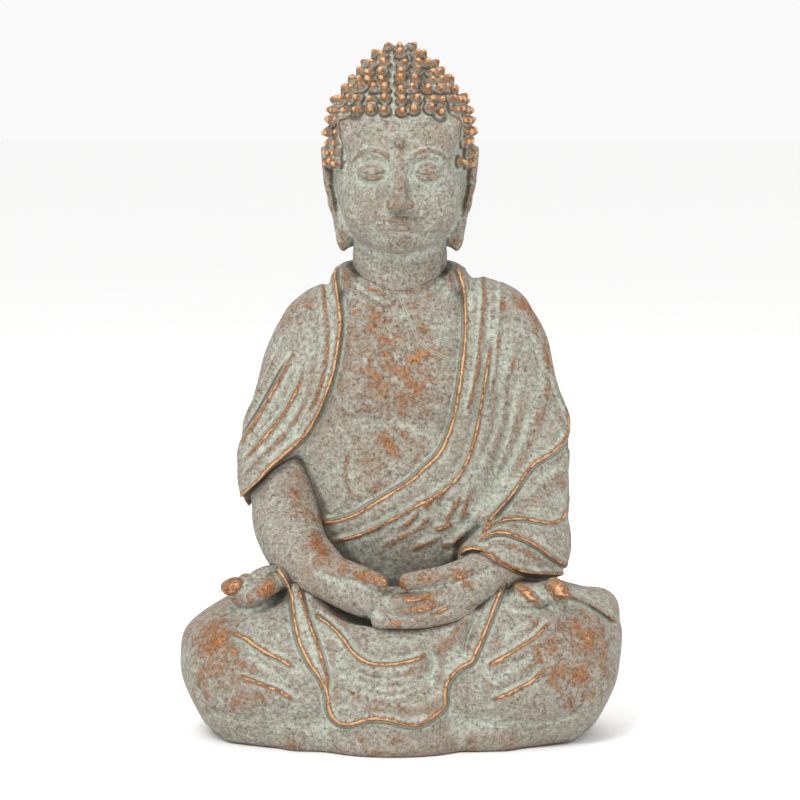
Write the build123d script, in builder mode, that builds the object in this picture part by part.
"""Seated Buddha statue for a garden or a shelf: hollow resin castings, pinned and bonded together.

Millimetres, +Z up. The figure faces -Y, and the origin is the middle of its footprint on the ground.
Four castings make the figure: crossed legs with the lap cloth, torso with robe and sleeves, joined
hands, and head. Dowels locate them, a plate closes the underside, and felt pads carry the weight.
"""

import os
from math import copysign, cos, pi, radians, sin

from build123d import *

os.makedirs("parts", exist_ok=True)

# Overall size
TOTAL_HEIGHT = 400
KNEE_WIDTH = 258
BASE_DEPTH = 170
HALF_WIDTH = KNEE_WIDTH / 2
HALF_DEPTH = BASE_DEPTH / 2

# Casting practice
WALL = 6
RIM_WALL = 4
GLUE_GAP = 0.2
SECTION_POINTS = 20
SQUARENESS = 2.3

# Levels above the ground
RIM_LEVEL = 0.5
PLATE_LEVEL = 3
PLATE_THICKNESS = 5
DECK_LEVEL = 62
LAP_LEVEL = 88
COLLAR_LEVEL = 262
CROWN_LEVEL = 377

# Locating dowels
NECK_DOWEL_RADIUS = 5
WAIST_DOWEL_RADIUS = 4
DOWEL_LENGTH = 44
DOWEL_CLEARANCE = 0.1
BOSS_WALL = 5
WAIST_BOSS_HEIGHT = 26

# Neck joint
NECK_PLUG_RADIUS = 23
SOCKET_DEPTH = 12
NECK_Y = 19

# Underside fittings
BUNG_RADIUS = 10
BUNG_LENGTH = 9
BUNG_FLANGE_RADIUS = 13.5
BUNG_FLANGE_THICKNESS = 1.5
PAD_RADIUS = 11
PAD_X = 62
PAD_Y = 38

# Centre lines of the legs and the torso, front to back
LEG_Y = 4
TORSO_X = 3
TORSO_Y = 25
WAIST_DOWEL_X = 64

# Robe
ROBE_THICKNESS = 2.5

# Each section below is level, half width, half depth, centre x, centre y.
LEG_SECTIONS = [
    (RIM_LEVEL, 0.80 * HALF_WIDTH, 0.90 * HALF_DEPTH, 0, LEG_Y),
    (14, 0.88 * HALF_WIDTH, 0.93 * HALF_DEPTH, 0, LEG_Y),
    (32, 0.97 * HALF_WIDTH, 0.95 * HALF_DEPTH, 0, LEG_Y),
    (50, HALF_WIDTH, 0.95 * HALF_DEPTH, 0, LEG_Y),
    (66, 0.98 * HALF_WIDTH, 0.92 * HALF_DEPTH, 0, LEG_Y),
    (80, 0.88 * HALF_WIDTH, 0.84 * HALF_DEPTH, 0, LEG_Y),
    (LAP_LEVEL, 0.76 * HALF_WIDTH, 0.70 * HALF_DEPTH, 0, LEG_Y),
]
CLOTH_SECTIONS = [
    (RIM_LEVEL, 42, 38, 0, 38.5 - HALF_DEPTH),
    (14, 47, 40, 0, 40 - HALF_DEPTH),
    (38, 47, 38, 0, 41 - HALF_DEPTH),
    (56, 48, 34, 0, 45 - HALF_DEPTH),
    (70, 48, 28, 0, 50 - HALF_DEPTH),
]
TORSO_SECTIONS = [
    (DECK_LEVEL, 77, 49, TORSO_X, TORSO_Y + 3),
    (90, 79, 52, TORSO_X + 2, TORSO_Y + 2),
    (118, 84, 54, TORSO_X + 4, TORSO_Y + 1),
    (146, 92, 54, TORSO_X + 1, TORSO_Y),
    (174, 92, 51, TORSO_X, TORSO_Y - 1),
    (202, 84, 47, TORSO_X + 1, TORSO_Y - 1),
    (226, 76, 41, TORSO_X, TORSO_Y - 1),
    (244, 68, 35, TORSO_X - 1, TORSO_Y - 2),
    (256, 56, 30, TORSO_X - 2, TORSO_Y - 3),
    (COLLAR_LEVEL + 4, 36, 27, 0, NECK_Y),
]
NECK_SECTIONS = [
    (COLLAR_LEVEL + 4.5, 27, 25, 0, NECK_Y),
    (278, 26, 24, 0, 17),
    (300, 26, 27, 0, 14),
]
SKULL_SECTIONS = [
    (279, 17, 20, 0, 2),
    (289, 26, 34, 0, 4),
    (306, 32, 43, 0, 8),
    (326, 36, 46, 0, 10),
    (344, 38, 47, 0, 11),
    (358, 36, 43, 0, 12),
    (368, 29, 34, 0, 13),
    (CROWN_LEVEL, 20, 22, 0, 14),
    (388, 15, 16, 0, 14),
    (395, 9, 9, 0, 14),
    (TOTAL_HEIGHT - 0.5, 2, 2, 0, 14),
]
EAR_SECTIONS = [
    (275, 3, 5, 31, 14),
    (287, 4.5, 7, 32, 14),
    (305, 4, 8, 36, 15),
    (323, 4, 12, 40, 17),
    (338, 3, 7, 42, 17),
]

# Hair cap, which stands proud of the forehead behind a tilted plane
HAIR_RISE = 3.5
HAIRLINE = (0, -34, 358)
HAIRLINE_TILT = radians(37)

# Robe opening over the chest, as x and z in front view, from the collar down the hem and back up
CHEST_OPENING = [
    (-35, 280),
    (-31, 232),
    (-42, 190),
    (-58, 150),
    (-44, 126),
    (0, 148),
    (26, 182),
    (33, 230),
    (31, 280),
]

# Feet on the thighs: centre of each foot and of its big toe, for the figure's left side
FOOT_LENGTH = 72
FOOT_RADIUS = 15
FOOT_CENTRE = (66, -30, 84)
TOE_RADIUS = 7.5
TOE_CENTRE = (94, -40, 90)

# Hollow of the lap, which the hands lie in
LAP_HOLLOW_CENTRE = (3, -60, 102)
LAP_HOLLOW_LENGTH = 124
LAP_HOLLOW_RADIUS = 38

# Limbs are x, y, z and radius at each joint.
RIGHT_ARM = [(-52, 24, 146, 16), (-57, -2, 130, 18), (-50, -28, 110, 17), (-30, -48, 92, 13)]
LEFT_ARM = [(58, 22, 116, 16), (60, -8, 108, 17), (50, -34, 99, 15), (32, -52, 90, 12)]
PALMS = [
    (-46, -54, 84, 7),
    (-34, -55, 84, 14),
    (-14, -56, 84, 17.5),
    (8, -56, 84, 18),
    (30, -55, 84, 16),
    (50, -54, 85, 8),
]
RIGHT_THUMB = [(-36, -58, 97, 6.5), (-21, -66, 98, 6), (-8, -70, 97, 5), (-3, -71, 96, 2.5)]
LEFT_THUMB = [(42, -58, 97, 6.5), (25, -66, 98, 6), (10, -70, 97, 5), (4, -71, 96, 2.5)]
NOSE = [(0, -30, 333, 3), (0, -35, 320, 3.5), (0, -38, 308, 5), (0, -37, 303, 2)]

DOWN = (Align.CENTER, Align.CENTER, Align.MAX)
UP = (Align.CENTER, Align.CENTER, Align.MIN)


def outline(half_width, half_depth, centre_x, centre_y):
    """Points of a rounded-square outline, which is fuller at its corners than an ellipse."""
    points = []
    for step in range(SECTION_POINTS):
        angle = 2 * pi * step / SECTION_POINTS
        across = copysign(abs(cos(angle)) ** (2 / SQUARENESS), cos(angle))
        along = copysign(abs(sin(angle)) ** (2 / SQUARENESS), sin(angle))
        points.append((centre_x + half_width * across, centre_y + half_depth * along))
    return points


def loft_sections(sections, grow=0, mode=Mode.ADD):
    """Loft through level outlines, each grown outwards by the same amount."""
    faces = []
    for level, half_width, half_depth, centre_x, centre_y in sections:
        with BuildSketch(Plane.XY.offset(level)) as section:
            with BuildLine():
                Spline(*outline(half_width + grow, half_depth + grow, centre_x, centre_y), periodic=True)
            make_face()
        faces.append(section.sketch.face())
    return loft(faces, mode=mode)


def between(sections, low, high):
    """The sections between two levels, with one more worked out at each of those levels."""

    def at(level):
        for below, above in zip(sections, sections[1:]):
            if below[0] <= level <= above[0]:
                share = (level - below[0]) / (above[0] - below[0])
                return tuple(b + share * (a - b) for b, a in zip(below, above))
        raise ValueError(f"level {level} is outside the sections")

    return [at(low), *[s for s in sections if low + 2 < s[0] < high - 2], at(high)]


def limb(joints):
    """Tapering limb lofted through circles square to its path."""
    points = [Vector(*joint[:3]) for joint in joints]
    circles = []
    for index, joint in enumerate(joints):
        along = points[min(index + 1, len(points) - 1)] - points[max(index - 1, 0)]
        with BuildSketch(Plane(origin=points[index], z_dir=along)) as circle:
            Circle(joint[3])
        circles.append(circle.sketch.face())
    loft(circles)


def spheroid(centre, length, radius, mode=Mode.ADD):
    """Egg-like solid of revolution that lies along X."""
    with BuildSketch(Plane.XZ.offset(-centre[1])) as half:
        with Locations((centre[0], centre[2])):
            Ellipse(length / 2, radius)
            Rectangle(length, 2 * radius, align=(Align.CENTER, Align.MAX), mode=Mode.SUBTRACT)
    revolve(half.sketch.face(), Axis(centre, (1, 0, 0)), mode=mode)


def waist_places(level):
    """Where the two waist dowels stand, at a level."""
    return [(TORSO_X + side * WAIST_DOWEL_X, TORSO_Y, level) for side in (-1, 1)]


# Crossed legs with feet and lap cloth: hollow, and open underneath down to a rebate for the plate
with BuildPart() as legs:
    loft_sections(LEG_SECTIONS)
    loft_sections(CLOTH_SECTIONS)
    for side in (-1, 1):
        foot_x, foot_y, foot_z = FOOT_CENTRE
        spheroid((side * foot_x, foot_y, foot_z), FOOT_LENGTH, FOOT_RADIUS)
        toe_x, toe_y, toe_z = TOE_CENTRE
        with Locations((side * toe_x, toe_y, toe_z)):
            Sphere(TOE_RADIUS)
    spheroid(LAP_HOLLOW_CENTRE, LAP_HOLLOW_LENGTH, LAP_HOLLOW_RADIUS, Mode.SUBTRACT)
    loft_sections(TORSO_SECTIONS, GLUE_GAP, Mode.SUBTRACT)
    plate_top = PLATE_LEVEL + PLATE_THICKNESS
    loft_sections(between(LEG_SECTIONS, plate_top, DECK_LEVEL - WALL), -2 * RIM_WALL, Mode.SUBTRACT)
    loft_sections(between(LEG_SECTIONS, RIM_LEVEL, plate_top), -RIM_WALL, Mode.SUBTRACT)
    with Locations(*waist_places(DECK_LEVEL - WALL)):
        Cylinder(WAIST_DOWEL_RADIUS + BOSS_WALL, WAIST_BOSS_HEIGHT - WALL, align=DOWN)
    with Locations(*waist_places(DECK_LEVEL)):
        Cylinder(WAIST_DOWEL_RADIUS + DOWEL_CLEARANCE, DOWEL_LENGTH / 2 + 1, align=DOWN, mode=Mode.SUBTRACT)
legs.part.label = "legs_casting"
export_step(legs.part, "parts/legs_casting.step")

# Chest skin that the robe opening lets show, as the solid between the robe surface and bare chest
with BuildPart() as chest_recess:
    with BuildSketch(Plane.XZ) as opening:
        with BuildLine():
            Spline(*CHEST_OPENING)
            Line(CHEST_OPENING[-1], CHEST_OPENING[0])
        make_face()
    extrude(opening.sketch.face(), amount=HALF_DEPTH)
    loft_sections(TORSO_SECTIONS, -ROBE_THICKNESS, Mode.SUBTRACT)

# Robed torso with shoulders and sleeves: hollow, open at the waist, with a socket for the neck
with BuildPart() as torso:
    loft_sections(TORSO_SECTIONS)
    add(chest_recess.part, mode=Mode.SUBTRACT)
    socket_floor = COLLAR_LEVEL - SOCKET_DEPTH
    hollow_sections = between(TORSO_SECTIONS, DECK_LEVEL, socket_floor - 2 * WALL)
    loft_sections(hollow_sections, -WALL - ROBE_THICKNESS, Mode.SUBTRACT)
    with Locations((0, NECK_Y, socket_floor - WALL)):
        Cylinder(NECK_DOWEL_RADIUS + BOSS_WALL, DOWEL_LENGTH / 2 - 3, align=DOWN)
    with Locations(*waist_places(DECK_LEVEL)):
        Cylinder(WAIST_DOWEL_RADIUS + BOSS_WALL, WAIST_BOSS_HEIGHT, align=UP)
        Cylinder(WAIST_DOWEL_RADIUS + DOWEL_CLEARANCE, DOWEL_LENGTH / 2 + 1, align=UP, mode=Mode.SUBTRACT)
    with Locations((0, NECK_Y, socket_floor)):
        Cylinder(NECK_PLUG_RADIUS + GLUE_GAP, 2 * SOCKET_DEPTH, align=UP, mode=Mode.SUBTRACT)
        Cylinder(NECK_DOWEL_RADIUS + DOWEL_CLEARANCE, DOWEL_LENGTH / 2 + 1, align=DOWN, mode=Mode.SUBTRACT)
torso.part.label = "torso_casting"
export_step(torso.part, "parts/torso_casting.step")

# Room the hands have to leave free: the lap round its hollow, one glue gap larger
with BuildPart() as lap_room:
    loft_sections(LEG_SECTIONS, GLUE_GAP)
    for side in (-1, 1):
        spheroid((side * foot_x, foot_y, foot_z), FOOT_LENGTH + GLUE_GAP, FOOT_RADIUS + GLUE_GAP)
    spheroid(LAP_HOLLOW_CENTRE, LAP_HOLLOW_LENGTH - 2 * GLUE_GAP, LAP_HOLLOW_RADIUS - GLUE_GAP, Mode.SUBTRACT)

# Joined hands with the right forearm, seated on the lap and against the sleeves
with BuildPart() as hands:
    for joints in (RIGHT_ARM, LEFT_ARM, PALMS, RIGHT_THUMB, LEFT_THUMB):
        limb(joints)
    loft_sections(TORSO_SECTIONS, 2 * GLUE_GAP, Mode.SUBTRACT)
    add(lap_room.part, mode=Mode.SUBTRACT)
hands.part.label = "hands_casting"
export_step(hands.part, "parts/hands_casting.step")

# Hair cap with the crown dome
with BuildPart() as hair:
    loft_sections(SKULL_SECTIONS, HAIR_RISE)
    hairline_plane = Plane(HAIRLINE, z_dir=(0, sin(HAIRLINE_TILT), cos(HAIRLINE_TILT)))
    split(bisect_by=hairline_plane, keep=Keep.TOP)

# Head: skull, hair, ears with long lobes, nose, and a neck whose plug enters the collar socket
with BuildPart() as head:
    loft_sections(SKULL_SECTIONS)
    add(hair.part)
    loft_sections(NECK_SECTIONS)
    for side in (-1, 1):
        loft_sections([(z, w, d, side * x, y) for z, w, d, x, y in EAR_SECTIONS])
    limb(NOSE)
    with Locations((0, NECK_Y, socket_floor + GLUE_GAP)):
        Cylinder(NECK_PLUG_RADIUS, SOCKET_DEPTH + 2 * WALL, align=UP)
        Cylinder(NECK_DOWEL_RADIUS + DOWEL_CLEARANCE, DOWEL_LENGTH + WALL, align=UP, mode=Mode.SUBTRACT)
    hollow_sections = between(SKULL_SECTIONS, socket_floor + DOWEL_LENGTH, CROWN_LEVEL - WALL)
    loft_sections(hollow_sections, -WALL, Mode.SUBTRACT)
head.part.label = "head_casting"
export_step(head.part, "parts/head_casting.step")

# Plate that closes the underside, with the filler hole
with BuildPart() as base_plate:
    loft_sections(between(LEG_SECTIONS, PLATE_LEVEL, PLATE_LEVEL + PLATE_THICKNESS), -RIM_WALL - GLUE_GAP)
    with Locations((0, LEG_Y, PLATE_LEVEL)):
        Cylinder(BUNG_RADIUS + DOWEL_CLEARANCE, 3 * PLATE_THICKNESS, mode=Mode.SUBTRACT)
base_plate.part.label = "base_plate"
export_step(base_plate.part, "parts/base_plate.step")

# Rubber bung in the filler hole
with BuildPart() as filler_bung:
    with Locations((0, LEG_Y, PLATE_LEVEL)):
        Cylinder(BUNG_FLANGE_RADIUS, BUNG_FLANGE_THICKNESS, align=DOWN)
        Cylinder(BUNG_RADIUS, BUNG_LENGTH, align=UP)
filler_bung.part.label = "filler_bung"
export_step(filler_bung.part, "parts/filler_bung.step")

# Felt pads under the plate
with BuildPart() as felt_pads:
    with Locations(*[(sx * PAD_X, LEG_Y + sy * PAD_Y, 0) for sx in (-1, 1) for sy in (-1, 1)]):
        Cylinder(PAD_RADIUS, PLATE_LEVEL, align=UP)
felt_pads.part.label = "felt_pads"
export_step(felt_pads.part, "parts/felt_pads.step")

# Dowel across the neck joint
with BuildPart() as neck_dowel:
    with Locations((0, NECK_Y, socket_floor)):
        Cylinder(NECK_DOWEL_RADIUS, DOWEL_LENGTH)
    chamfer(neck_dowel.edges().filter_by(GeomType.CIRCLE), 1)
neck_dowel.part.label = "neck_dowel"
export_step(neck_dowel.part, "parts/neck_dowel.step")

# Dowels across the waist joint
with BuildPart() as waist_dowels:
    with Locations(*waist_places(DECK_LEVEL)):
        Cylinder(WAIST_DOWEL_RADIUS, DOWEL_LENGTH)
    chamfer(waist_dowels.edges().filter_by(GeomType.CIRCLE), 1)
waist_dowels.part.label = "waist_dowels"
export_step(waist_dowels.part, "parts/waist_dowels.step")
